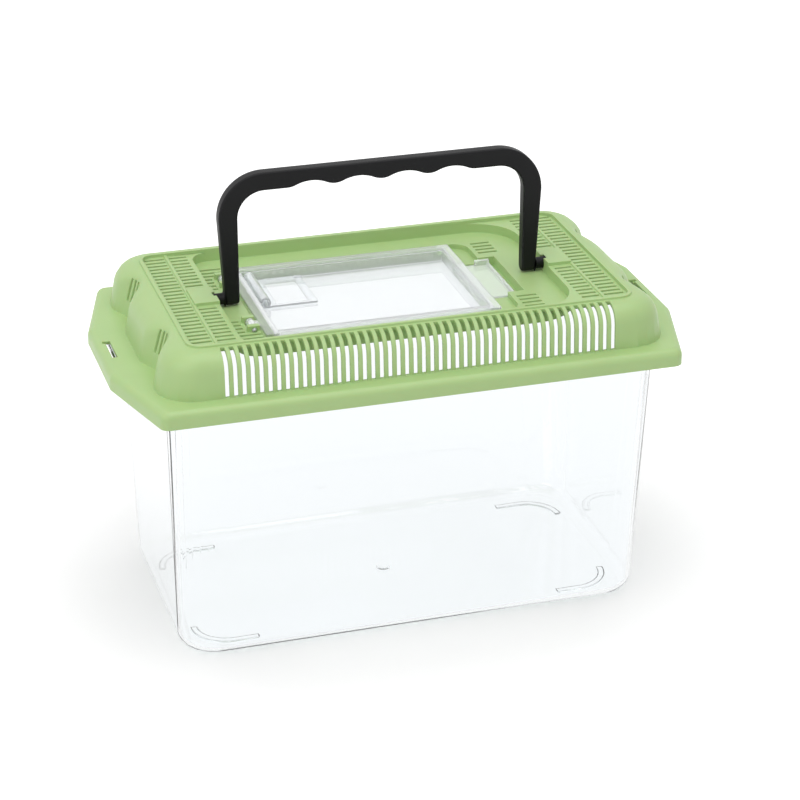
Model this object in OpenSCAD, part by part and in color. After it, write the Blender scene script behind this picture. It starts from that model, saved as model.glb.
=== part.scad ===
// Plastic keeper for small pets: a clear tapered tank, a slotted snap-on lid,
// a clear trap door with a small feeding flap, and a folding carrying handle.
// Millimetres. +Z is up, X runs along the length, the front is towards -Y.
// The origin is at the middle of the footprint, on the surface it stands on.

/* [Overall] */
// Length of the lid over its end tabs
lid_length = 300; // [294:2:320]
// Width of the lid over its long skirts
lid_width = 170; // [166:2:184]
// Height of the bead round the top of the lid
lid_height = 174.8; // [165:0.2:190]
// Height of the handle above the bead
handle_rise = 63.5; // [58:0.5:75]

/* [Tank] */
// Length of the tank over its base
base_length = 249; // [240:1:252]
// Width of the tank over its base
base_width = 134; // [124:2:142]
// Length of the tank just under the rim
mouth_length = 256; // [252:1:260]
// How far the tank wall stays inside the lid width, on each side
mouth_inset = 2.6; // [2.5:0.1:6]
// Radius of the upright corners at the base
base_corner = 20; // [14:1:24]
// Radius of the upright corners at the rim
mouth_corner = 26; // [20:1:30]
// Radius of the edge between walls and floor
floor_round = 8; // [4:1:10]
// Thickness of the tank walls and floor
tank_wall = 2; // [1.6:0.2:2.6]
// Thickness of the rim ledge that carries the lid
ledge_thickness = 3; // [2:0.5:4]
// Height of the corner feet
foot_height = 1.2; // [0.8:0.2:2]
// Width of the ridge that makes each foot
foot_ridge = 3; // [2:0.5:4]
// Radius of the curved part of each foot
foot_radius = 18; // [14:1:20]
// Length of the straight part of each foot
foot_leg = 13; // [8:1:16]
// Distance from the end of the base to the middle of each foot's curve
foot_end_inset = 29; // [28:0.5:34]
// Distance from the long side of the base to the middle of each foot's curve
foot_side_inset = 34; // [29:0.5:38]
// Diameter of the moulding gate mark on the floor
gate_diameter = 7; // [4:1:12]
// Height of the gate mark
gate_height = 0.6; // [0.4:0.1:1]

/* [Lid] */
// Wall thickness of the lid
lid_wall = 2; // [1.6:0.2:2.4]
// Height of the dome above the deck
dome_rise = 22.8; // [21.4:0.2:27]
// Height of the skirt round the deck
skirt_height = 9; // [8:0.5:12]
// Radius of the upper edge of the skirt
skirt_shoulder = 4; // [3:0.5:5]
// Radius of the edge between the deck and the skirt on the inside, and of the rim ledge
inner_shoulder = 1; // [0.5:0.25:1.5]
// Gap between the rim ledge and the inside of the skirt
skirt_clearance = 0.5; // [0.3:0.1:1]
// How far the corners of the skirt lie in from the end tabs
corner_setback = 15.4; // [10:0.2:18]
// Length of the straight tab at each end
tab_length = 60; // [44:2:70]
// Radius of the corners of the skirt
skirt_corner = 5; // [4.5:0.5:8]
// Width of the deck along the long sides
side_margin = 9.5; // [8:0.5:12]
// Width of the deck at the end tabs
end_margin = 17.5; // [15:0.5:18]
// Radius of the dome edge along the long sides
side_shoulder = 10; // [8:0.5:10.5]
// Radius of the dome corners at the deck
dome_corner = 19; // [15:1:20]
// Radius of the dome corners at the top
crest_corner = 8; // [6:0.5:8]
// How far the flat top lies in from the foot of the dome at the ends
end_slope = 15; // [12.5:0.5:15.5]
// Radius of the upper edge of the lobes at the ends
lobe_shoulder = 13; // [9:0.5:13]
// Radius of the upper edge of the valleys between the lobes
valley_shoulder = 3; // [2.5:0.5:5]
// Distance of each end valley from the middle line
valley_offset = 35; // [34:0.5:36]
// Width of each end valley
valley_width = 36; // [32:1:38]
// How far the foot of each end valley lies in from the foot of the lobes
valley_depth = 6; // [2:0.5:7]

/* [Snaps] */
// Length of the snap window in each end of the deck
window_length = 21; // [16:1:26]
// Width of the snap window
window_width = 2.5; // [2:0.5:3]
// Length of the short leg at one end of the window
window_leg = 4; // [3:0.2:4.6]
// Distance of the window from the end of the tab
window_inset = 5.4; // [5:0.2:6]
// Height of the snap tongue below the deck
snap_height = 7; // [5:0.5:8]
// Reach of the snap bead
snap_bead = 1.6; // [1:0.2:2]
// Gap between the bead and the rim ledge
snap_clearance = 0.4; // [0.3:0.1:0.6]

/* [Side slots] */
// Number of slots in each long side
slot_count = 47; // [41:2:47]
// Distance from slot to slot
slot_pitch = 4.36; // [4:0.02:4.4]
// Width of each slot
slot_width = 2.2; // [1.6:0.1:2.4]
// How far the front slots run in over the top of the shoulder
slot_reach = 11; // [10:0.5:11.5]
// Number of vents in each end valley
vent_count = 6; // [4:1:6]
// Distance from vent to vent
vent_pitch = 2.8; // [2.6:0.1:3.2]
// Width of each vent
vent_width = 1.3; // [1:0.1:1.6]
// Height of the lower end of the vents above the deck
vent_foot = 7.6; // [6:0.2:10]

/* [Top deck] */
// Height of the bead above the dome
bead_rise = 1.2; // [0.8:0.1:1.6]
// Width of the bead
bead_width = 2; // [1.6:0.2:2.4]
// How deep the outer grille panels lie below the bead
panel_drop = 2; // [1.6:0.1:2.4]
// How deep the middle deck lies below the bead
well_drop = 7.2; // [6.8:0.1:7.6]
// Distance from the edge of the flat top to the bead, at the ends
end_inset = 1; // [0.8:0.1:3]
// Distance from the edge of the flat top to the bead, along the long sides
side_inset = 2; // [1.4:0.1:3]
// Radius of the panel corners
panel_corner = 6; // [4:0.5:8]
// Radius of the well corners beside the hinge
left_corner = 9; // [6:1:12]
// Radius of the well corners beside the latch
right_corner = 24; // [16:1:26]
// Distance from grille slot to grille slot
grille_pitch = 4.5; // [4.2:0.1:5]
// Width of each grille slot
grille_slot = 1.9; // [1.4:0.1:2.2]
// Distance between the slots of neighbouring grille columns
grille_rib = 2.6; // [2:0.2:3.2]
// Width of the outer grille column
column_width = 10.6; // [8:0.2:11]
// Height of the ribs between the grille columns
rib_rise = 0.8; // [0.4:0.1:1]

/* [Handle] */
// Clear width between the legs
handle_inner = 152.4; // [148:0.4:156]
// Width of each leg at the top, and of the material at the corners
leg_width = 10; // [8:0.5:11]
// Width of each leg at the pivot
foot_width = 7.5; // [6:0.5:8]
// Thickness of the handle
handle_thickness = 7; // [5:0.5:7]
// Height of the grip
grip_height = 9.6; // [8:0.2:12]
// Outer corner radius
handle_corner = 24; // [18:1:28]
// Inner corner radius
handle_inner_corner = 14; // [10:1:18]
// Number of finger grooves
groove_count = 4; // [3:1:4]
// Distance from groove to groove
groove_pitch = 25; // [20:1:26]
// Depth of each groove
groove_depth = 2.7; // [1.5:0.1:3.5]
// Share of the wave under the grip that its round bumps take
bump_share = 0.35; // [0.2:0.05:0.5]
// Diameter of the pivot lugs
lug_diameter = 6; // [5:0.2:6.4]
// Gap all round between a lug and its socket
lug_clearance = 0.3; // [0.2:0.05:0.4]
// Gap between the legs and the walls of the well
leg_clearance = 2; // [1.5:0.1:3]
// Width of the pad that holds a lug
pad_width = 20; // [16:1:24]

/* [Trap door] */
// Length of the door
door_length = 123.4; // [112:0.2:124]
// Width of the door
door_width = 91; // [80:1:91]
// Distance from the middle of the lid to the left edge of the door
door_left = 73; // [70:0.2:74]
// Thickness of the door's flat rim
door_rim = 2; // [1.6:0.2:2]
// Width of the flat rim
rim_width = 3; // [2.6:0.2:3.6]
// Width of the flat rim along the hinge edge
hinge_rim = 5.5; // [5:0.5:6]
// Thickness of the tray walls and floor
tray_wall = 1.5; // [1.2:0.1:1.8]
// Depth of the tray below the top of the rim
tray_depth = 8.8; // [8.6:0.1:9.6]
// Depth of the rebate that the rim sits in
rebate_depth = 0.8; // [0.6:0.1:1]
// Gap round the rim and round the tray
door_clearance = 0.8; // [0.5:0.1:1]
// Depth of the recess beside the latch edge of the door
recess_depth = 3; // [2.4:0.2:3.4]
// Length of that recess beyond the door
recess_length = 10.4; // [8:0.2:11]
// Width of the latch tongue
tongue_width = 45; // [36:1:50]
// Length of the latch tongue
tongue_length = 18.5; // [14:0.5:18.5]
// Length of the catch at the back corner of the tongue
catch_length = 8; // [5:0.5:9]
// Width of that catch
catch_width = 2.5; // [2:0.5:4]
// Distance from the door edge to the hinge axis
hinge_offset = 4; // [4:0.1:4.2]
// Distance of each hinge knuckle from the middle of the door
knuckle_offset = 30; // [29:0.5:33]
// Length of each hinge knuckle
knuckle_length = 8; // [6:0.5:8]
// Diameter of each hinge knuckle
knuckle_diameter = 4.4; // [4:0.1:4.4]
// Diameter of the hinge pins
pin_diameter = 2.4; // [2:0.1:2.6]
// Gap all round between a pin and its hole
pin_clearance = 0.25; // [0.2:0.05:0.3]
// Thickness of the cheeks that hold the pins
cheek_thickness = 3; // [2:0.5:3]

/* [Feeding flap] */
// Length of the flap from its hinge axis
flap_length = 28; // [24:1:32]
// Width of the flap
flap_width = 37; // [30:1:38]
// Thickness of the flap
flap_thickness = 1.2; // [0.8:0.1:1.4]
// Diameter of the flap's hinge barrel
barrel_diameter = 6; // [5:0.2:6]
// Diameter of the rod inside the barrel
rod_diameter = 3; // [2.4:0.2:3]
// Gap all round between the rod and the barrel
rod_clearance = 0.3; // [0.2:0.05:0.4]
// Margin of the flap round the feeding hole
flap_margin = 4; // [3:0.5:6]

/* [Hidden] */
$fn = 64;
// Cuts run this far past the faces that they pass through
over = 1;
// Colours
clear_plastic = [0.86, 0.92, 0.95, 0.35];
green_plastic = [0.65, 0.78, 0.48];
black_plastic = [0.09, 0.10, 0.11];

// Heights
dome_top = lid_height - bead_rise;
deck_top = dome_top - dome_rise;
deck_bottom = deck_top - lid_wall;
skirt_bottom = deck_top - skirt_height;
panel_top = lid_height - panel_drop;
well_top = lid_height - well_drop;
handle_top = lid_height + handle_rise;
ledge_bottom = deck_bottom - ledge_thickness;

// Plan of the skirt: half sizes, and the slanted edge beside each tab
skirt_x = lid_length / 2;
skirt_y = lid_width / 2;
corner_x = skirt_x - corner_setback;
tab_y = tab_length / 2;
slant = [skirt_y - tab_y, corner_setback] / norm([skirt_y - tab_y, corner_setback]);
slant_reach = slant * [corner_x, skirt_y];

// Plan of the dome at the deck and round its flat top
dome_x = skirt_x - end_margin;
dome_y = skirt_y - side_margin;
crest_x = dome_x - end_slope;
crest_y = dome_y - side_shoulder;
valley_half = valley_width / 2;
arc_steps = 8;
corner_steps = 4;
wave_steps = 12;
shoulder_steps = 5;
// Turn from level to level round the upper edge of the skirt and the lower edge of the tank
edge_turn = 22.5;
// Height over which the valleys begin, inside the thickness of the deck
foot_lift = lid_wall / 4;
// Inner face of the snap tongue
snap_x = skirt_x - window_inset;

// Top deck
panel_x = crest_x - end_inset - bead_width;
panel_y = crest_y - side_inset - bead_width;
well_x = handle_inner / 2 + leg_width + leg_clearance;
outer_column_x = panel_x - grille_rib / 2 - column_width;
rib_margin = 0.5;
// Outer end of the pads that hold the lugs
pad_x1 = outer_column_x - grille_rib / 2;
// Gap between the round foot of the handle and the deck below it
pivot_gap = 0.4;
pivot_z = well_top + handle_thickness / 2 + pivot_gap;
// How far a lug reaches into its pad, and the room left beyond its end
lug_reach = 6.8;
lug_end_gap = 1;
// The open top of each lug socket
neck_width = lug_diameter - 1;
neck_length = 1.6;

// Trap door
rim_top = well_top - rebate_depth + door_rim;
door_x0 = -door_left;
door_x1 = door_x0 + door_length;
door_y = door_width / 2;
tray_x0 = door_x0 + hinge_rim;
tray_x1 = door_x1 - rim_width;
tray_y = door_y - rim_width;
tray_bottom = rim_top - tray_depth;
pane_top = tray_bottom + tray_wall;
hinge_x = door_x0 - hinge_offset;
// How far the knuckles reach below the rim
hinge_sink = 0.8;
hinge_z = rim_top - door_rim + knuckle_diameter / 2 - hinge_sink;
tongue_thickness = 1.6;
tongue_z = pane_top + tongue_thickness;
tongue_lip = 1.4;
tongue_x1 = tray_x1 + tongue_length;
pocket_gap = 2;
pocket_x1 = tongue_x1 + 2 * pocket_gap;
pocket_y = tongue_width / 2 + pocket_gap;
pocket_floor = tongue_z - door_clearance;
recess_x1 = door_x1 + recess_length;
recess_y = door_y + grille_rib;
recess_corner = 9;
recess_floor = well_top - recess_depth;
pin_reach = 2;
pin_slack = 0.4;
cheek_gap = 1.3;
cheek_rise = 3.2;

// Feeding flap
flap_gap = 0.3;
flap_z = pane_top + flap_gap;
barrel_x = tray_x0 + tray_wall + barrel_diameter / 2 + 2 * flap_gap + over;
barrel_z = pane_top + barrel_diameter / 2 + flap_gap;
flap_y1 = tray_y - tray_wall - over;
flap_y0 = flap_y1 - flap_width;
nib_size = 4;
nib_height = 0.8;

// ---------- helpers ----------

function unit(v) = v / norm(v);

// Points on an arc from angle a0 to a1
function arc(c, r, a0, a1, n) =
    [for (i = [0:n]) let (a = a0 + (a1 - a0) * i / n) c + r * [cos(a), sin(a)]];

// The arc that rounds corner b of the path a, b, c
function corner_arc(a, b, c, r, n) = let (
    u = unit(a - b),
    v = unit(c - b),
    half = acos(u * v) / 2,
    m = b + unit(u + v) * r / sin(half),
    d = r / tan(half),
    p = b + u * d - m,
    q = b + v * d - m,
    a0 = atan2(p[1], p[0]),
    turn = atan2(p[0] * q[1] - p[1] * q[0], p * q))
    arc(m, r, a0, a0 + turn, n);

function rounded(path, r, n) = let (k = len(path))
    [for (i = [0:k - 1]) each corner_arc(path[(i + k - 1) % k], path[i], path[(i + 1) % k], r, n)];

function flip_x(p) = [for (k = [len(p) - 1:-1:0]) [-p[k][0], p[k][1]]];
function flip_y(p) = [for (k = [len(p) - 1:-1:0]) [p[k][0], -p[k][1]]];

// A plan outline at height z
function raised(path, z) = [for (p = path) [p[0], p[1], z]];

// Skin over a stack of levels with the same number of points, counter-clockwise, bottom to top
module loft(levels) {
    n = len(levels[0]);
    last = len(levels) - 1;
    polyhedron(
        points = [for (l = levels) each l],
        faces = concat(
            [[for (i = [0:n - 1]) i]],
            [for (k = [0:last - 1], i = [0:n - 1]) let (j = (i + 1) % n)
                each [[k * n + i, (k + 1) * n + j, k * n + j],
                      [k * n + i, (k + 1) * n + i, (k + 1) * n + j]]],
            [[for (i = [n - 1:-1:0]) last * n + i]]));
}

// Outline of the skirt, drawn in by i all round
function skirt_path(i) = let (
    cx = (slant_reach - i - slant[1] * (skirt_y - i)) / slant[0],
    ty = (slant_reach - i - slant[0] * (skirt_x - i)) / slant[1],
    half = [[skirt_x - i, -ty], [skirt_x - i, ty], [cx, skirt_y - i]])
    concat(half, flip_x(half), [[-cx, i - skirt_y], [cx, i - skirt_y]]);

// The same outline with round corners
function skirt_outline(i) =
    rounded(skirt_path(i), skirt_corner - min(i, skirt_corner / 2), corner_steps);

// Solid with the outline of the skirt, drawn in by i, from height z0 to z1, with an upper edge of radius r
module skirt_solid(i, z0, z1, r) {
    loft(concat([raised(skirt_outline(i), z0)],
        [for (a = [0:edge_turn:90])
            raised(skirt_outline(i + r * (1 - cos(a))), z1 - r * (1 - sin(a)))]));
}

// How much of a valley there is at the distance y from the middle line: 0 on a lobe, 1 in the valley
function valley(y) = let (d = abs(abs(y) - valley_offset))
    d < valley_half ? (1 + cos(180 * d / valley_half)) / 2 : 0;

// A station of the dome: its point at the foot, its point on the flat top and the radius of its edge.
// Stations of the end, at the distance y from the middle line
// with the share of the valleys that is cut in
function end_station(y, share) = [[dome_x - valley_depth * valley(y) * share, y], [crest_x, y],
    lobe_shoulder + (valley_shoulder - lobe_shoulder) * valley(y) * share];

// Stations of a corner, at the angle a
function corner_station(a) = [
    [dome_x, dome_y] + dome_corner * [cos(a) - 1, sin(a) - 1],
    [crest_x, crest_y] + crest_corner * [cos(a) - 1, sin(a) - 1],
    lobe_shoulder + (side_shoulder - lobe_shoulder) * a / 90];

// Stations of a quarter of the dome, and of the whole dome
function quarter_dome(share) = concat(
    [for (k = [0:wave_steps])
        end_station(valley_offset + valley_half * (2 * k / wave_steps - 1), share)],
    [for (a = [0:90 / shoulder_steps:90]) corner_station(a)]);

// Stations mirrored in X or Y, in the opposite order
function flip_stations(list, x, y) = [for (k = [len(list) - 1:-1:0]) let (t = list[k])
    [[x * t[0][0], y * t[0][1]], [x * t[1][0], y * t[1][1]], t[2]]];

function whole_dome(share) = let (
    quarter = quarter_dome(share),
    half = concat(flip_stations(quarter, 1, -1), quarter))
    concat(half, flip_stations(half, -1, 1));

// Point of a station, drawn in by i: step 0 lies at height z0, the others run over the round edge
function station_point(t, step, i, z0) = let (
    out = t[0] - t[1],
    span = norm(out),
    rise = dome_rise - t[2],
    lean = atan2(span, rise) - asin(t[2] / norm([span, rise])),
    a = lean + (90 - lean) * max(step - 1, 0) / shoulder_steps,
    r = t[2] - i,
    start = r * sin(a) + dome_top - t[2],
    z = step == 0 ? z0 : start,
    reach = r * cos(a) + (start - z) * tan(lean))
    [t[1][0] + out[0] / span * reach, t[1][1] + out[1] / span * reach, z];

// Solid of the dome, drawn in by i, from height z0 to its top. Its foot has no valleys
module dome_solid(i, z0) {
    loft(concat(
        [[for (t = whole_dome(0)) station_point(t, 0, i, z0)]],
        [for (step = [0:shoulder_steps + 1])
            [for (t = whole_dome(1)) station_point(t, step, i, z0 + foot_lift)]]));
}

// Box given by its corners
module block(x0, x1, y0, y1, z0, z1) {
    translate([x0, y0, z0]) cube([x1 - x0, y1 - y0, z1 - z0]);
}

// Box centred on X and Y
module slab(x, y, z0, z1) {
    block(-x, x, -y, y, z0, z1);
}

// Rounded rectangle from x0 to x1, centred on Y, with its own corner radius at each end
module plate_plan(x0, x1, y, r0, r1) {
    translate([x0 + r0, -y]) square([x1 - r1 - x0 - r0, 2 * y]);
    translate([x0, r0 - y]) square([r0 + over, 2 * (y - r0)]);
    translate([x1 - r1 - over, r1 - y]) square([r1 + over, 2 * (y - r1)]);
    for (s = [-1, 1]) {
        translate([x0 + r0, s * (y - r0)]) circle(r = r0);
        translate([x1 - r1, s * (y - r1)]) circle(r = r1);
    }
}

module plate(x0, x1, y, r0, r1, z0, z1) {
    translate([0, 0, z0]) linear_extrude(height = z1 - z0) plate_plan(x0, x1, y, r0, r1);
}

// Round bar along Y
module bar_y(x, z, d, y0, y1) {
    translate([x, y0, z]) rotate([-90, 0, 0]) cylinder(d = d, h = y1 - y0);
}

// Round bar along X
module bar_x(y, z, d, x0, x1) {
    translate([x0, y, z]) rotate([0, 90, 0]) cylinder(d = d, h = x1 - x0);
}

// ---------- tank ----------

// One level of the tank: a rounded rectangle at height z
function level(x, y, r, z) = raised(concat(
    arc([x - r, y - r], r, 0, 90, arc_steps),
    arc([r - x, y - r], r, 90, 180, arc_steps),
    arc([r - x, r - y], r, 180, 270, arc_steps),
    arc([x - r, r - y], r, 270, 360, arc_steps)), z);

// Body of the tank drawn in by i, from height z0 to z1
module tank_solid(i, z0, z1) {
    r = floor_round - i;
    rise = deck_bottom - foot_height;
    x_slope = (mouth_length - base_length) / 2 / rise;
    y_slope = (skirt_y - mouth_inset - base_width / 2) / rise;
    r_slope = (mouth_corner - base_corner) / rise;
    bends = [for (a = [0:edge_turn:90]) [r * (1 - sin(a)), r * (1 - cos(a))]];
    loft(concat(
        [for (b = bends) let (h = z0 + b[1] - foot_height) level(
            base_length / 2 - i - b[0] + x_slope * h,
            base_width / 2 - i - b[0] + y_slope * h,
            base_corner - i - b[0] + r_slope * h, z0 + b[1])],
        [let (h = z1 - foot_height) level(
            base_length / 2 - i + x_slope * h,
            base_width / 2 - i + y_slope * h,
            base_corner - i + r_slope * h, z1)]));
}

// One corner foot: a curved ridge with a straight leg along the long side
module foot() {
    translate([base_length / 2 - foot_end_inset, base_width / 2 - foot_side_inset, 0])
        linear_extrude(height = foot_height + over / 2) {
        intersection() {
            difference() {
                circle(r = foot_radius + foot_ridge / 2);
                circle(r = foot_radius - foot_ridge / 2);
            }
            square(foot_radius + foot_ridge);
        }
        translate([-foot_leg, foot_radius - foot_ridge / 2]) square([foot_leg, foot_ridge]);
    }
}

module tank() {
    color(clear_plastic) {
        difference() {
            union() {
                tank_solid(0, foot_height, ledge_bottom + over);
                skirt_solid(lid_wall + skirt_clearance, ledge_bottom, deck_bottom, inner_shoulder);
                for (a = [0, 1], b = [0, 1]) mirror([a, 0, 0]) mirror([0, b, 0]) foot();
            }
            tank_solid(tank_wall, foot_height + tank_wall, deck_bottom + over);
            for (a = [0, 1]) mirror([a, 0, 0])
                block(snap_x - snap_bead - snap_clearance, skirt_x, -window_length, window_length,
                    ledge_bottom - over, deck_bottom + over);
        }
        // gate mark in the middle of the floor
        translate([0, 0, foot_height + tank_wall / 2])
            cylinder(d = gate_diameter, h = tank_wall / 2 + gate_height);
    }
}

// ---------- lid ----------

// Slots through one long side: from near the deck up to z1, and inwards as far as y1
module side_slots(y1, z1) {
    for (k = [0:slot_count - 1])
        translate([(k - (slot_count - 1) / 2) * slot_pitch - slot_width / 2, 0, 0])
            block(0, slot_width, -skirt_y, y1, deck_top + over / 2, z1);
}

// Fine vents in the upper half of one end valley
module valley_vents() {
    for (k = [0:vent_count - 1])
        translate([0, valley_offset + (k - (vent_count - 1) / 2) * vent_pitch - vent_width / 2, 0])
            block(crest_x - lid_wall, dome_x, 0, vent_width,
                deck_top + vent_foot, dome_top - valley_shoulder);
}

// Rows of slots that fill a field, the same distance apart as on the whole lid
module grille(x0, x1, y0, y1) {
    first = ceil(y0 / grille_pitch);
    last = floor(y1 / grille_pitch);
    if (last >= first) for (k = [first:last])
        block(x0, x1, k * grille_pitch - grille_slot / 2, k * grille_pitch + grille_slot / 2,
            deck_top, lid_height + over);
}

// Slots of one outer panel: a whole column, and a column on both sides of the pad
module grille_columns() {
    edge = panel_y - grille_slot;
    inner_x0 = well_x + lid_wall + rib_margin;
    inner_x1 = outer_column_x - grille_rib;
    pad_edge = pad_width / 2 + grille_slot;
    grille(outer_column_x, panel_x - grille_rib / 2, -edge, edge);
    grille(inner_x0, inner_x1, pad_edge, edge);
    grille(inner_x0, inner_x1, -edge, -pad_edge);
}

// Slots of the middle deck, beside the hinge and beside the latch pocket
module well_grille() {
    edge = panel_y - left_corner;
    left_x = grille_rib / 2 - well_x;
    right_x = recess_x1 + grille_rib;
    hinge_end = knuckle_offset + knuckle_length / 2 + pin_slack + cheek_thickness + grille_slot;
    for (b = [0, 1]) mirror([0, b, 0]) {
        grille(left_x, hinge_x - knuckle_diameter / 2 - grille_rib, pad_width, hinge_end);
        grille(left_x, door_x0 - door_clearance - rib_margin, hinge_end, edge);
        grille(right_x, right_x + column_width, pocket_y + grille_pitch, recess_y);
    }
}

// Dish in the top of the dome: outer panels, middle deck and their walls
module top_dish() {
    wall = lid_wall;
    difference() {
        union() {
            plate(-panel_x - wall, panel_x + wall, panel_y + wall, panel_corner + wall,
                panel_corner + wall, panel_top - wall, dome_top);
            plate(-well_x - wall, well_x + wall, panel_y + wall, left_corner + wall,
                right_corner + wall, well_top - wall, panel_top);
            for (a = [0, 1]) mirror([a, 0, 0])
                block(well_x, pad_x1, -pad_width / 2, pad_width / 2,
                    pivot_z - lug_diameter, panel_top);
            plate(tray_x1, recess_x1 + wall, recess_y + wall, over, recess_corner + wall,
                recess_floor - wall, well_top);
            block(tray_x1, pocket_x1 + wall, -pocket_y - wall, pocket_y + wall,
                pocket_floor - wall, well_top);
        }
        plate(-panel_x, panel_x, panel_y, panel_corner, panel_corner, panel_top, lid_height + over);
        plate(-well_x, well_x, panel_y, left_corner, right_corner, well_top, lid_height + over);
        grille_columns();
        mirror([1, 0, 0]) grille_columns();
        well_grille();
    }
}

// Bead round the panel, and the ribs between the grille columns
module bead() {
    x = panel_x + bead_width;
    difference() {
        plate(-x, x, panel_y + bead_width, panel_corner + bead_width, panel_corner + bead_width,
            panel_top, lid_height);
        plate(-panel_x, panel_x, panel_y, panel_corner, panel_corner,
            panel_top - over, lid_height + over);
    }
    for (a = [0, 1]) mirror([a, 0, 0])
        block(outer_column_x - grille_rib + rib_margin, outer_column_x - rib_margin, -panel_y, panel_y,
            panel_top - over / 2, panel_top + rib_rise);
}

// Sockets for the handle lugs, open at the top so that the lugs snap in
module lug_socket() {
    bar_x(0, pivot_z, lug_diameter + 2 * lug_clearance,
        well_x - over, well_x + lug_reach + lug_end_gap);
    block(well_x - over, well_x + neck_length, -neck_width / 2, neck_width / 2,
        pivot_z, lid_height + over);
}

// Cheeks on both sides of one hinge knuckle
module hinge_cheeks() {
    y = knuckle_length / 2 + pin_slack;
    for (s = [-1, 1]) translate([0, knuckle_offset + s * (y + cheek_thickness / 2), 0])
        block(hinge_x - knuckle_diameter / 2 - pin_slack - over, door_x0 - cheek_gap,
            -cheek_thickness / 2, cheek_thickness / 2, well_top - lid_wall, well_top + cheek_rise);
}

// Room for one hinge knuckle and its pins
module hinge_room() {
    y = knuckle_length / 2 + pin_slack;
    translate([0, knuckle_offset, 0]) {
        block(hinge_x - knuckle_diameter / 2 - pin_slack, door_x0, -y, y,
            well_top - lid_wall - over, well_top + over);
        bar_y(hinge_x, hinge_z, pin_diameter + 2 * pin_clearance,
            -y - cheek_thickness - over, y + cheek_thickness + over);
    }
}

// Window over the snap bead, with a short leg towards the end of the tab
module snap_window() {
    half = window_length / 2;
    block(snap_x - window_width, snap_x, -half, half, deck_bottom - over, deck_top + over);
    block(snap_x - over, snap_x - window_width + window_leg, half - window_width, half,
        deck_bottom - over, deck_top + over);
}

// Snap tongue below one end of the deck
module snap_tongue() {
    half = window_length / 2;
    block(snap_x, snap_x + lid_wall, -half, half, deck_bottom - snap_height, deck_bottom + over / 2);
    bar_y(snap_x, ledge_bottom - snap_bead - snap_clearance, 2 * snap_bead, -half, half);
}

module lid() {
    color(green_plastic) difference() {
        union() {
            difference() {
                union() {
                    dome_solid(0, deck_bottom);
                    skirt_solid(0, skirt_bottom, deck_top, skirt_shoulder);
                }
                skirt_solid(lid_wall, skirt_bottom - over, deck_bottom, inner_shoulder);
                dome_solid(lid_wall, deck_bottom - over);
                plate(-panel_x, panel_x, panel_y, panel_corner, panel_corner,
                    well_top, lid_height + over);
                side_slots(slot_reach - dome_y, lid_height + over);
                mirror([0, 1, 0]) side_slots(lid_wall + over - dome_y, dome_top - side_shoulder);
                for (a = [0, 1], b = [0, 1]) mirror([a, 0, 0]) mirror([0, b, 0]) valley_vents();
                for (a = [0, 1]) mirror([a, 0, 0]) snap_window();
            }
            top_dish();
            bead();
            for (a = [0, 1]) mirror([a, 0, 0]) {
                snap_tongue();
                block(well_x, pad_x1, -pad_width / 2, pad_width / 2,
                    panel_top - over, lid_height);
            }
            for (b = [0, 1]) mirror([0, b, 0]) hinge_cheeks();
        }
        for (a = [0, 1]) mirror([a, 0, 0]) lug_socket();
        for (b = [0, 1]) mirror([0, b, 0]) hinge_room();
        // rebate for the rim, opening for the tray, recess beside the latch and pocket for the tongue
        block(door_x0 - door_clearance, door_x1 + door_clearance,
            -door_y - door_clearance, door_y + door_clearance,
            well_top - rebate_depth, lid_height + over);
        block(tray_x0 - door_clearance, tray_x1 + door_clearance,
            -tray_y - door_clearance, tray_y + door_clearance,
            deck_top, well_top + over);
        plate(tray_x1 - over, recess_x1, recess_y, over, recess_corner, recess_floor, well_top + over);
        block(tray_x1 - over, pocket_x1, -pocket_y, pocket_y, pocket_floor, well_top + over);
    }
}

// ---------- trap door ----------

module door_knuckle() {
    half = knuckle_length / 2;
    translate([0, knuckle_offset, 0]) {
        bar_y(hinge_x, hinge_z, knuckle_diameter, -half, half);
        block(hinge_x, door_x0 + over, -half, half, rim_top - door_rim, rim_top);
        bar_y(hinge_x, hinge_z, pin_diameter, -half - pin_reach, half + pin_reach);
    }
}

module trap_door() {
    color(clear_plastic) {
        difference() {
            union() {
                block(door_x0, door_x1, -door_y, door_y, rim_top - door_rim, rim_top);
                block(tray_x0, tray_x1, -tray_y, tray_y, tray_bottom, rim_top);
            }
            block(tray_x0 + tray_wall, tray_x1 - tray_wall, tray_wall - tray_y, tray_y - tray_wall,
                pane_top, rim_top + over);
            block(barrel_x + barrel_diameter / 2 + flap_margin, barrel_x + flap_length - flap_margin,
                flap_y0 + flap_margin, flap_y1 - flap_margin, tray_bottom - over, pane_top + over);
        }
        for (b = [0, 1]) mirror([0, b, 0]) door_knuckle();
        tongue_y = tongue_width / 2;
        lip_z = tongue_z + tongue_thickness + tongue_lip;
        block(tray_x1 - tray_wall / 2, tongue_x1, -tongue_y, tongue_y, tongue_z, tongue_z + tongue_thickness);
        block(tongue_x1 - tongue_thickness, tongue_x1, -tongue_y, tongue_y, tongue_z, lip_z);
        block(tongue_x1 - catch_length, tongue_x1, tongue_y - catch_width, tongue_y,
            tongue_z, lip_z + tongue_lip);
        bar_y(barrel_x, barrel_z, rod_diameter, flap_y0 - over, tray_y - tray_wall / 2);
    }
}

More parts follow.
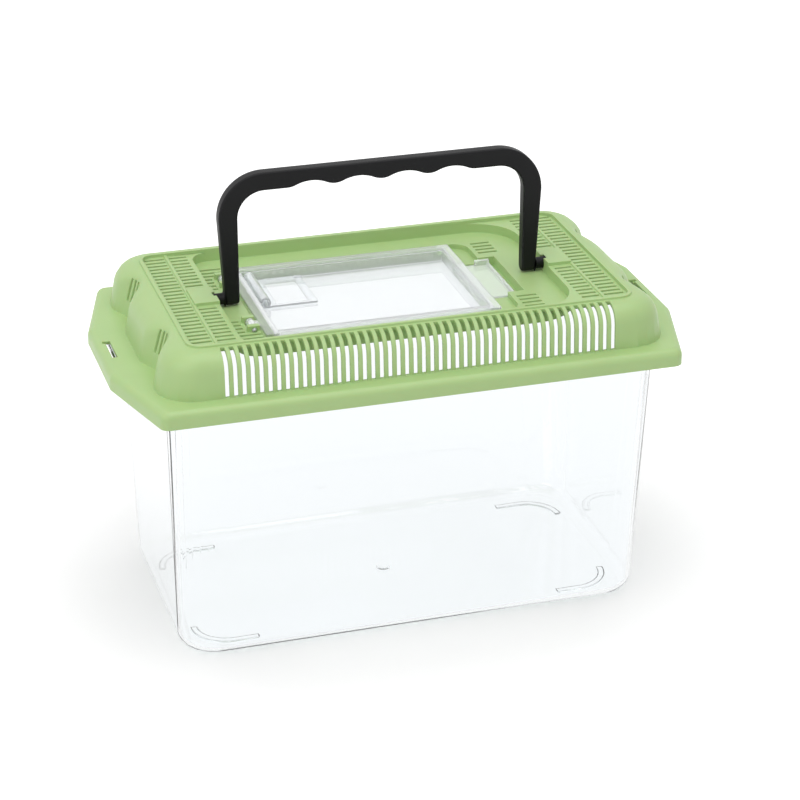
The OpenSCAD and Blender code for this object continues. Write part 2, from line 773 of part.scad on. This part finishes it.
module feeding_flap() {
    color(clear_plastic) {
        difference() {
            union() {
                bar_y(barrel_x, barrel_z, barrel_diameter, flap_y0, flap_y1);
                block(barrel_x, barrel_x + flap_length, flap_y0, flap_y1, flap_z, flap_z + flap_thickness);
            }
            bar_y(barrel_x, barrel_z, rod_diameter + 2 * rod_clearance, flap_y0 - over, flap_y1 + over);
        }
        block(barrel_x + flap_length - nib_size, barrel_x + flap_length,
            flap_y1 - nib_size, flap_y1 - nib_size / 2,
            flap_z + flap_thickness, flap_z + flap_thickness + nib_height);
    }
}

// ---------- handle ----------

// One finger groove, cut into the grip's underside at height z: it runs into half a bump on each side
module groove(z) {
    reach = groove_pitch / 2;
    both = (reach * reach + groove_depth * groove_depth) / (2 * groove_depth);
    bump = both * bump_share;
    meet = z + bump * groove_depth / both;
    difference() {
        translate([-reach, z - over]) square([groove_pitch, meet - z + over]);
        for (s = [-1, 1]) translate([s * reach, z + bump]) circle(r = bump);
    }
    intersection() {
        translate([0, z + groove_depth - both + bump]) circle(r = both - bump);
        translate([-reach, z]) square([groove_pitch, groove_pitch]);
    }
}

// Half of the handle's flat outline, right of the middle
module handle_half() {
    inner = handle_inner / 2;
    outer = inner + leg_width;
    foot = inner + foot_width;
    shoulder_z = handle_top - handle_corner;
    under = handle_top - grip_height;
    difference() {
        union() {
            polygon([[0, shoulder_z], [0, handle_top], [outer - handle_corner, handle_top],
                [outer - handle_corner, shoulder_z]]);
            intersection() {
                translate([outer - handle_corner, shoulder_z]) circle(r = handle_corner);
                translate([outer - handle_corner, shoulder_z]) square(handle_corner + over);
            }
            polygon([[0, shoulder_z], [0, pivot_z], [foot, pivot_z], [outer, shoulder_z]]);
        }
        translate([-over, pivot_z - over])
            square([inner - handle_inner_corner + over, under - pivot_z + over]);
        translate([-over, pivot_z - over])
            square([inner + over, under - handle_inner_corner - pivot_z + over]);
        translate([inner - handle_inner_corner, under - handle_inner_corner])
            circle(r = handle_inner_corner);
        for (k = [0:groove_count - 1])
            translate([(k - (groove_count - 1) / 2) * groove_pitch, 0]) groove(under);
    }
}

module handle() {
    t = handle_thickness;
    inner = handle_inner / 2;
    color(black_plastic) {
        for (a = [0, 1]) mirror([a, 0, 0]) {
            translate([0, t / 2, 0]) rotate([90, 0, 0]) linear_extrude(height = t) handle_half();
            bar_x(0, pivot_z, t, inner, inner + foot_width);
            bar_x(0, pivot_z, lug_diameter, inner + foot_width / 2, well_x + lug_reach);
        }
    }
}

tank();
lid();
trap_door();
feeding_flap();
handle();
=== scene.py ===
"""Looks of a plastic pet keeper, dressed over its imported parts.

A clear moulded tank, a green slotted lid, a clear trap door with a feeding
flap, and a black folding handle, on a pale studio floor. Metres, +Z up.
"""

import logging
import math
from dataclasses import dataclass, field
from enum import Enum

import bpy
from mathutils import Matrix, Vector

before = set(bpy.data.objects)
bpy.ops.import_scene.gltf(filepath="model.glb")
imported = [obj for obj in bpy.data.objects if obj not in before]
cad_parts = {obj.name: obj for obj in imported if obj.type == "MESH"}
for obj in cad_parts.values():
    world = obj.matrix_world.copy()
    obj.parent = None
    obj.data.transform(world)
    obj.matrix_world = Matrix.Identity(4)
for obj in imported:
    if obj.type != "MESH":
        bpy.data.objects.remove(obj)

MM = 0.001
log = logging.getLogger("pet_keeper")

# The sRGB curve: a short straight foot up to the knee, and a power above it.
SRGB_KNEE = 0.04045
SRGB_FOOT = 12.92
SRGB_OFFSET = 0.055
SRGB_POWER = 2.4

# A backdrop of this colour and strength renders as plain white.
WHITE = "#FFFFFF"
WHITE_STRENGTH = 1.0


class Node(Enum):
    """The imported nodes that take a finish, by name."""

    TANK = "tank"
    LID = "lid"
    TRAP_DOOR = "trap_door"
    FEEDING_FLAP = "feeding_flap"
    HANDLE = "handle"


def linear(hex_colour: str) -> tuple[float, float, float, float]:
    """Turn an sRGB hex colour into linear light.

    Args:
        hex_colour: six hex digits, with or without a leading #.

    Returns:
        Red, green, blue and a full alpha.
    """
    digits = hex_colour.lstrip("#")
    channels = [int(digits[i : i + 2], 16) / 255 for i in (0, 2, 4)]
    lit = [
        c / SRGB_FOOT if c <= SRGB_KNEE else ((c + SRGB_OFFSET) / (1 + SRGB_OFFSET)) ** SRGB_POWER
        for c in channels
    ]
    return (*lit, 1.0)


def add_node(
    tree: bpy.types.NodeTree,
    kind: str,
    settings: dict | None = None,
    links: dict | None = None,
) -> bpy.types.Node:
    """Add one node to a tree, with its settings and its incoming links.

    Args:
        tree: the node tree that takes the node.
        kind: the node's type name.
        settings: values of its attributes, or of its inputs by name or number.
        links: output sockets that feed the inputs of that name or number.

    Returns:
        The new node.
    """
    node = tree.nodes.new(kind)
    for name, value in (settings or {}).items():
        if isinstance(name, str) and hasattr(node, name):
            setattr(node, name, value)
        else:
            node.inputs[name].default_value = value
    for name, socket in (links or {}).items():
        tree.links.new(socket, node.inputs[name])
    return node


def new_material(name: str) -> tuple[bpy.types.Material, bpy.types.NodeTree]:
    """Make an empty node material.

    Args:
        name: name of the material.

    Returns:
        The material and its node tree.
    """
    material = bpy.data.materials.new(name)
    material.use_nodes = True
    material.node_tree.nodes.clear()
    return material, material.node_tree


def noise(tree: bpy.types.NodeTree, size_mm: float, detail: float = 2.0) -> bpy.types.NodeSocket:
    """Add an even noise on the piece's own coordinates.

    Args:
        tree: the node tree that takes the noise.
        size_mm: rough width of its grains.
        detail: how many finer layers lie on it.

    Returns:
        The socket that gives its value.
    """
    place = add_node(tree, "ShaderNodeTexCoord")
    cloud = add_node(
        tree,
        "ShaderNodeTexNoise",
        {"Scale": 1 / (size_mm * MM), "Detail": detail},
        {"Vector": place.outputs["Object"]},
    )
    return cloud.outputs["Fac"]


@dataclass(frozen=True)
class MouldedPolypropylene:
    """Opaque injection-moulded polypropylene with a fine spark-eroded skin.

    The waxy resin gives a broad soft highlight and lets a little light in.
    The eroded mould leaves a fine even grain, the flow of the resin a very
    faint cloudiness, and hands a slightly glossier patch here and there.
    The real grain is about 0.1 mm wide, too fine to show at this scale, so
    it is drawn as coarse as it needs to be seen.

    Attributes:
        name: name of the material.
        colour: its main colour.
        deep_colour: its colour where more pigment has gathered.
        roughness: middle roughness of its skin.
        gloss_spread: how far rubbed and matt patches go from that.
        grain_mm: width of the grain.
        grain_depth_mm: depth of the grain.
        grain_detail: finer layers on the grain.
        grain_strength: how strongly the grain turns the light.
        cloud_mm: width of the cloudy patches of pigment.
        rubs_per_cloud: rubbed patches that fit across a cloudy one.
        subsurface: share of the light that enters the resin.
        scatter_mm: how far that light spreads in it.
        specular: strength of its gloss.
        ior: how strongly it bends light.
    """

    name: str
    colour: str
    deep_colour: str
    roughness: float = 0.42
    gloss_spread: float = 0.05
    grain_mm: float = 0.45
    grain_depth_mm: float = 0.02
    grain_detail: float = 3.0
    grain_strength: float = 0.35
    cloud_mm: float = 22.0
    rubs_per_cloud: float = 3.0
    subsurface: float = 0.12
    scatter_mm: float = 2.0
    specular: float = 0.5
    ior: float = 1.49

    def tint(self, tree: bpy.types.NodeTree) -> bpy.types.NodeSocket:
        """Cloud the colour with patches of pigment.

        Args:
            tree: the material's node tree.

        Returns:
            The socket that gives the colour.
        """
        mix = add_node(tree, "ShaderNodeMix", {"data_type": "RGBA"})
        ends = [socket for socket in mix.inputs if socket.type == "RGBA"]
        for socket, value in zip(ends, (self.colour, self.deep_colour)):
            socket.default_value = linear(value)
        tree.links.new(noise(tree, self.cloud_mm), mix.inputs["Factor"])
        return next(socket for socket in mix.outputs if socket.type == "RGBA")

    def gloss(self, tree: bpy.types.NodeTree) -> bpy.types.NodeSocket:
        """Spread the roughness over rubbed and matt patches.

        Args:
            tree: the material's node tree.

        Returns:
            The socket that gives the roughness.
        """
        return add_node(
            tree,
            "ShaderNodeMapRange",
            {
                "To Min": self.roughness - self.gloss_spread,
                "To Max": self.roughness + self.gloss_spread,
            },
            {"Value": noise(tree, self.cloud_mm / self.rubs_per_cloud)},
        ).outputs["Result"]

    def grain(self, tree: bpy.types.NodeTree) -> bpy.types.NodeSocket:
        """Turn the normal by the grain of the mould.

        Args:
            tree: the material's node tree.

        Returns:
            The socket that gives the normal.
        """
        return add_node(
            tree,
            "ShaderNodeBump",
            {"Strength": self.grain_strength, "Distance": self.grain_depth_mm * MM},
            {"Height": noise(tree, self.grain_mm, self.grain_detail)},
        ).outputs["Normal"]

    def build(self) -> bpy.types.Material:
        """Make the material.

        Returns:
            The finished material.
        """
        material, tree = new_material(self.name)
        shader = add_node(
            tree,
            "ShaderNodeBsdfPrincipled",
            {
                "IOR": self.ior,
                "Specular IOR Level": self.specular,
                "Subsurface Weight": self.subsurface,
                "Subsurface Scale": self.scatter_mm * MM,
            },
            {
                "Base Color": self.tint(tree),
                "Roughness": self.gloss(tree),
                "Normal": self.grain(tree),
            },
        )
        add_node(tree, "ShaderNodeOutputMaterial", links={"Surface": shader.outputs["BSDF"]})
        return material


@dataclass(frozen=True)
class ClearPolystyrene:
    """Clear crystal polystyrene, injection moulded in a polished mould.

    Thin walls stay almost colourless, and the resin's high IOR of 1.59 draws
    thin grey lines at edges and corners. The polish of the mould leaves long
    shallow waves, and wiping with a cloth a faint uneven haze. A moulding
    may be polished only up to a height, with satin walls above it.

    Attributes:
        name: name of the material.
        tint: colour of the resin.
        roughness: haze of the clearest places.
        haze_spread: haze that the wiped places add.
        clearness: share of the light that goes through, the rest scatters white.
        ior: how strongly it bends light.
        wave_mm: width of the waves in the walls.
        wave_depth_mm: depth of the waves.
        wave_strength: how strongly the waves turn the light.
        wipe_mm: width of the wiped places.
        satin: haze that the satin walls add.
        satin_above_mm: height on the piece at which they start.
    """

    name: str
    tint: str = "#FCFEFF"
    roughness: float = 0.01
    haze_spread: float = 0.02
    clearness: float = 1.0
    ior: float = 1.59
    wave_mm: float = 35.0
    wave_depth_mm: float = 0.05
    wave_strength: float = 0.2
    wipe_mm: float = 18.0
    satin: float = 0.0
    satin_above_mm: float = 0.0

    def wave(self, tree: bpy.types.NodeTree) -> bpy.types.NodeSocket:
        """Turn the normal by the waves of the polish.

        Args:
            tree: the material's node tree.

        Returns:
            The socket that gives the normal.
        """
        return add_node(
            tree,
            "ShaderNodeBump",
            {"Strength": self.wave_strength, "Distance": self.wave_depth_mm * MM},
            {"Height": noise(tree, self.wave_mm)},
        ).outputs["Normal"]

    def wiped_haze(self, tree: bpy.types.NodeTree) -> bpy.types.NodeSocket:
        """Spread the roughness over clear and wiped places.

        Args:
            tree: the material's node tree.

        Returns:
            The socket that gives the roughness.
        """
        return add_node(
            tree,
            "ShaderNodeMapRange",
            {"To Min": self.roughness, "To Max": self.roughness + self.haze_spread},
            {"Value": noise(tree, self.wipe_mm)},
        ).outputs["Result"]

    def satin_haze(self, tree: bpy.types.NodeTree) -> bpy.types.NodeSocket:
        """Find the haze that the satin walls add.

        Args:
            tree: the material's node tree.

        Returns:
            The socket that gives it, which is 0 on the polished places.
        """
        place = add_node(tree, "ShaderNodeTexCoord")
        apart = add_node(tree, "ShaderNodeSeparateXYZ", links={"Vector": place.outputs["Object"]})
        above = add_node(
            tree,
            "ShaderNodeMath",
            {"operation": "GREATER_THAN", 1: self.satin_above_mm * MM},
            {0: apart.outputs["Z"]},
        )
        return add_node(
            tree,
            "ShaderNodeMath",
            {"operation": "MULTIPLY", 1: self.satin},
            {0: above.outputs[0]},
        ).outputs[0]

    def build(self) -> bpy.types.Material:
        """Make the material.

        Returns:
            The finished material, which lets shadow rays straight through.
        """
        material, tree = new_material(self.name)
        rough = add_node(
            tree,
            "ShaderNodeMath",
            {"operation": "ADD"},
            {0: self.wiped_haze(tree), 1: self.satin_haze(tree)},
        )
        glass = add_node(
            tree,
            "ShaderNodeBsdfPrincipled",
            {
                "Base Color": linear(self.tint),
                "IOR": self.ior,
                "Transmission Weight": self.clearness,
            },
            {"Roughness": rough.outputs[0], "Normal": self.wave(tree)},
        )
        through = add_node(tree, "ShaderNodeBsdfTransparent", {"Color": linear(self.tint)})
        path = add_node(tree, "ShaderNodeLightPath")
        mix = add_node(
            tree,
            "ShaderNodeMixShader",
            links={
                0: path.outputs["Is Shadow Ray"],
                1: glass.outputs["BSDF"],
                2: through.outputs["BSDF"],
            },
        )
        add_node(tree, "ShaderNodeOutputMaterial", links={"Surface": mix.outputs["Shader"]})
        return material


Finish = MouldedPolypropylene | ClearPolystyrene


@dataclass
class Moulding:
    """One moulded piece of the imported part, with its finish and its softened edges.

    Attributes:
        node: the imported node.
        finish: the plastic it is moulded in.
        edge_mm: width of the rounding on its edges.
        segments: facets across that rounding.
        edge_deg: edges that turn by more than this are rounded.
        weld_mm: points closer than this are joined first.
        flat_deg: flat faces within this angle are joined too, where it isn't 0.
    """

    node: Node
    finish: Finish
    edge_mm: float
    segments: int = 2
    edge_deg: float = 35.0
    weld_mm: float = 0.004
    flat_deg: float = 0.0

    def piece(self) -> bpy.types.Object:
        """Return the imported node's object."""
        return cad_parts[self.node.value]

    def dress(self) -> None:
        """Give the piece its plastic and a smooth skin."""
        mesh = self.piece().data
        mesh.materials.clear()
        mesh.materials.append(self.finish.build())
        mesh.polygons.foreach_set("use_smooth", [True] * len(mesh.polygons))

    def join_faces(self) -> None:
        """Join the loose triangles into one skin, and its flat faces so that roundings fit."""
        weld = self.piece().modifiers.new("weld", "WELD")
        weld.merge_threshold = self.weld_mm * MM
        if self.flat_deg:
            flat = self.piece().modifiers.new("flat", "DECIMATE")
            flat.decimate_type = "DISSOLVE"
            flat.angle_limit = math.radians(self.flat_deg)

    def soften_edges(self) -> None:
        """Round the sharp edges as a mould does, and even out the shading."""
        bevel = self.piece().modifiers.new("edge", "BEVEL")
        bevel.width = self.edge_mm * MM
        bevel.segments = self.segments
        bevel.limit_method = "ANGLE"
        bevel.angle_limit = math.radians(self.edge_deg)
        bevel.use_clamp_overlap = False
        bevel.loop_slide = False
        self.piece().modifiers.new("even", "WEIGHTED_NORMAL")

    def build(self) -> None:
        """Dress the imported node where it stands."""
        self.dress()
        self.join_faces()
        self.soften_edges()


@dataclass
class Tank(Moulding):
    """The open tank: tapering walls, a floor on low ridges and a rim ledge, in clear resin."""

    node: Node = Node.TANK
    finish: Finish = field(default_factory=lambda: ClearPolystyrene("clear_polystyrene"))
    edge_mm: float = 0.4


@dataclass
class Lid(Moulding):
    """The slotted lid with its scalloped dome and its well, in green resin."""

    node: Node = Node.LID
    finish: Finish = field(
        default_factory=lambda: MouldedPolypropylene("green_polypropylene", "#B0CD8C", "#AAC785")
    )
    edge_mm: float = 0.3


@dataclass
class TrapDoor(Moulding):
    """The tray-shaped trap door in the lid, in clear resin scuffed by use."""

    node: Node = Node.TRAP_DOOR
    finish: Finish = field(
        default_factory=lambda: ClearPolystyrene(
            "hazy_polystyrene",
            roughness=0.02,
            clearness=0.75,
            satin=0.14,
            satin_above_mm=162.0,
        )
    )
    edge_mm: float = 0.3


@dataclass
class FeedingFlap(Moulding):
    """The small flap over the feeding hole, with its thick hinge barrel."""

    node: Node = Node.FEEDING_FLAP
    finish: Finish = field(
        default_factory=lambda: ClearPolystyrene(
            "flap_polystyrene",
            roughness=0.02,
            haze_spread=0.03,
            clearness=0.8,
        )
    )
    edge_mm: float = 0.25


@dataclass
class Handle(Moulding):
    """The folding handle, a stout black bail with generously rounded edges."""

    node: Node = Node.HANDLE
    finish: Finish = field(
        default_factory=lambda: MouldedPolypropylene(
            "black_polypropylene",
            "#151517",
            "#121214",
            roughness=0.45,
            subsurface=0.0,
            specular=0.2,
        )
    )
    edge_mm: float = 1.2
    segments: int = 3
    flat_deg: float = 0.6


@dataclass
class Keeper:
    """The whole pet keeper, in the order that it is put together."""

    tank: Tank = field(default_factory=Tank)
    lid: Lid = field(default_factory=Lid)
    trap_door: TrapDoor = field(default_factory=TrapDoor)
    feeding_flap: FeedingFlap = field(default_factory=FeedingFlap)
    handle: Handle = field(default_factory=Handle)

    def mouldings(self) -> tuple[Moulding, ...]:
        """Return every moulding, in that order."""
        return (self.tank, self.lid, self.trap_door, self.feeding_flap, self.handle)


def straight_ray(tree: bpy.types.NodeTree) -> bpy.types.NodeSocket:
    """Tell the rays that show the backdrop from those that light the part.

    Args:
        tree: the node tree that asks.

    Returns:
        A socket that is 1 for rays from the camera, through clear plastic or off a gloss.
    """
    path = add_node(tree, "ShaderNodeLightPath")
    seen = path.outputs["Is Camera Ray"]
    for other in ("Is Transmission Ray", "Is Glossy Ray"):
        seen = add_node(
            tree,
            "ShaderNodeMath",
            {"operation": "MAXIMUM"},
            {0: seen, 1: path.outputs[other]},
        ).outputs[0]
    return seen


def clear_ray(tree: bpy.types.NodeTree) -> bpy.types.NodeSocket:
    """Return a socket that is 1 for rays that come through clear plastic."""
    return add_node(tree, "ShaderNodeLightPath").outputs["Is Transmission Ray"]


@dataclass(frozen=True)
class Softbox:
    """A square area lamp that is aimed at the part.

    Attributes:
        name: name of the lamp.
        place_m: where it hangs.
        size_m: width of its square.
        power_w: its power.
    """

    name: str
    place_m: tuple[float, float, float]
    size_m: float
    power_w: float

    def hang(self, target_m: Vector) -> None:
        """Hang the lamp at its place.

        Args:
            target_m: the point that it is aimed at.
        """
        lamp = bpy.data.lights.new(self.name, "AREA")
        lamp.shape = "SQUARE"
        lamp.size = self.size_m
        lamp.energy = self.power_w
        holder = bpy.data.objects.new(self.name, lamp)
        bpy.context.scene.collection.objects.link(holder)
        holder.location = self.place_m
        aim = target_m - Vector(self.place_m)
        holder.rotation_mode = "QUATERNION"
        holder.rotation_quaternion = aim.to_track_quat("-Z", "Y")


@dataclass
class Studio:
    """Pale floor, soft even light, and the camera.

    Attributes:
        floor_m: width of the floor.
        floor_gap_mm: how far the floor lies below the part, so that faces don't coincide.
        floor_colour: its colour.
        floor_lift: light that the floor adds of itself where it is looked at, near the part.
        Being weaker than far_lift, it leaves painted shade on the floor round the part.
        far_lift: the same far from the part, where the floor is plain white.
        near_m: distance from the middle at which the floor starts to turn white.
        far_m: distance at which it is white.
        inside_white: share of plain white glow that it has where it is seen through clear
            plastic, painted light that covers the shadow under the part.
        ambient: strength of the light from all round.
        softboxes: one wide lamp overhead and a weaker one to the front left.
        lens_mm: focal length of the camera.
        sensor_mm: width of its sensor.
        nearest_m: distance from which it sees.
        farthest_m: distance up to which it sees.
        azimuth_deg: how far the camera stands to the right of the front.
        elevation_deg: how far it looks down.
        distance_mm: its distance from the middle of the object.
        target_z_mm: height of that middle above the floor.
        slide_right_mm: sideways slide that frames the object.
        slide_up_mm: upward slide that frames the object.
    """

    floor_m: float = 40.0
    floor_gap_mm: float = 0.3
    floor_colour: str = "#F4F4F4"
    floor_lift: float = 0.2
    far_lift: float = 0.5
    near_m: float = 0.13
    far_m: float = 0.42
    inside_white: float = 0.9
    ambient: float = 0.56
    softboxes: tuple[Softbox, ...] = (
        Softbox("top_softbox", (0.0, -0.3, 2.2), size_m=2.0, power_w=23.0),
        Softbox("left_softbox", (-1.5, -0.7, 1.1), size_m=1.2, power_w=6.0),
    )
    lens_mm: float = 115.35
    sensor_mm: float = 36.0
    nearest_m: float = 0.05
    farthest_m: float = 60.0
    azimuth_deg: float = -16.83
    elevation_deg: float = 24.96
    distance_mm: float = 1365.4
    target_z_mm: float = 90.88
    slide_right_mm: float = 9.6
    slide_up_mm: float = 10.94

    def lift(self, tree: bpy.types.NodeTree) -> bpy.types.NodeSocket:
        """Find the light that the floor adds where it is looked at.

        Args:
            tree: the floor's node tree.

        Returns:
            The socket that gives it, which grows away from the part, so the weaker glow near the
            part is painted shade round it.
        """
        place = add_node(tree, "ShaderNodeTexCoord")
        away = add_node(
            tree,
            "ShaderNodeVectorMath",
            {"operation": "LENGTH"},
            {"Vector": place.outputs["Object"]},
        )
        # Painted shade: the glow is weaker near the part, so the floor is darker round it.
        amount = add_node(
            tree,
            "ShaderNodeMapRange",
            {
                "From Min": self.near_m,
                "From Max": self.far_m,
                "To Min": self.floor_lift,
                "To Max": self.far_lift,
            },
            {"Value": away.outputs["Value"]},
        )
        return add_node(
            tree,
            "ShaderNodeMath",
            {"operation": "MULTIPLY"},
            {0: amount.outputs["Result"], 1: straight_ray(tree)},
        ).outputs[0]

    def floor_material(self) -> bpy.types.Material:
        """Make the floor's material.

        Returns:
            A pale matt material that glows a little, less near the part so that painted shade
            rings it, and is nearly white through clear plastic, painted light that covers the
            shadow under the part.
        """
        material, tree = new_material("pale_floor")
        matt = add_node(tree, "ShaderNodeBsdfDiffuse", {"Color": linear(self.floor_colour)})
        glow = add_node(
            tree,
            "ShaderNodeEmission",
            {"Color": linear(WHITE)},
            {"Strength": self.lift(tree)},
        )
        both = add_node(
            tree, "ShaderNodeAddShader", links={0: matt.outputs[0], 1: glow.outputs[0]}
        )
        # Painted light: through clear plastic the floor is mostly plain white glow, which covers
        # the shadow under the part.
        white = add_node(
            tree,
            "ShaderNodeEmission",
            {"Color": linear(WHITE), "Strength": WHITE_STRENGTH},
        )
        share = add_node(
            tree,
            "ShaderNodeMath",
            {"operation": "MULTIPLY", 1: self.inside_white},
            {0: clear_ray(tree)},
        )
        seen = add_node(
            tree,
            "ShaderNodeMixShader",
            links={0: share.outputs[0], 1: both.outputs[0], 2: white.outputs[0]},
        )
        add_node(tree, "ShaderNodeOutputMaterial", links={"Surface": seen.outputs[0]})
        return material

    def floor(self) -> None:
        """Lay a wide pale floor that keeps the part's shadow."""
        bpy.ops.object.select_all(action="DESELECT")
        bpy.ops.mesh.primitive_plane_add(
            size=self.floor_m, location=(0, 0, -self.floor_gap_mm * MM)
        )
        floor = bpy.context.object
        floor.name = "floor"
        floor.data.materials.append(self.floor_material())

    def world(self) -> None:
        """Light the scene evenly from all round, before a white backdrop."""
        world = bpy.data.worlds.new("studio")
        bpy.context.scene.world = world
        world.use_nodes = True
        tree = world.node_tree
        tree.nodes.clear()
        strength = add_node(
            tree,
            "ShaderNodeMapRange",
            {"To Min": self.ambient, "To Max": WHITE_STRENGTH},
            {"Value": straight_ray(tree)},
        )
        light = add_node(
            tree,
            "ShaderNodeBackground",
            {"Color": linear(WHITE)},
            {"Strength": strength.outputs["Result"]},
        )
        add_node(tree, "ShaderNodeOutputWorld", links={"Surface": light.outputs[0]})

    def lamps(self) -> None:
        """Hang the softboxes, aimed at the middle of the object."""
        target_m = Vector((0, 0, self.target_z_mm * MM))
        for softbox in self.softboxes:
            softbox.hang(target_m)

    def camera(self) -> None:
        """Stand the camera front left, looking slightly down."""
        azimuth, elevation = math.radians(self.azimuth_deg), math.radians(self.elevation_deg)
        back = Vector(
            (
                math.sin(azimuth) * math.cos(elevation),
                -math.cos(azimuth) * math.cos(elevation),
                math.sin(elevation),
            )
        )
        right = Vector((math.cos(azimuth), math.sin(azimuth), 0))
        up = back.cross(right)
        target_mm = Vector((0, 0, self.target_z_mm))
        middle_mm = target_mm + back * self.distance_mm
        place_mm = middle_mm + right * self.slide_right_mm + up * self.slide_up_mm
        camera = bpy.data.cameras.new("camera")
        camera.lens = self.lens_mm
        camera.sensor_width = self.sensor_mm
        camera.clip_start, camera.clip_end = self.nearest_m, self.farthest_m
        holder = bpy.data.objects.new("camera", camera)
        bpy.context.scene.collection.objects.link(holder)
        turn = Matrix((right, up, back)).transposed()
        holder.matrix_world = Matrix.Translation(place_mm * MM) @ turn.to_4x4()
        bpy.context.scene.camera = holder

    def build(self) -> None:
        """Make the floor, the world, the lamps and the camera."""
        self.floor()
        self.world()
        self.lamps()
        self.camera()


def main() -> None:
    """Dress every moulding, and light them."""
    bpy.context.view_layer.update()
    for moulding in Keeper().mouldings():
        moulding.build()
        log.info("%s dressed in %s", moulding.node.value, moulding.finish.name)
    Studio().build()
    bpy.context.scene.view_settings.view_transform = "Standard"


if __name__ == "__main__":
    logging.basicConfig(level=logging.INFO)
    main()
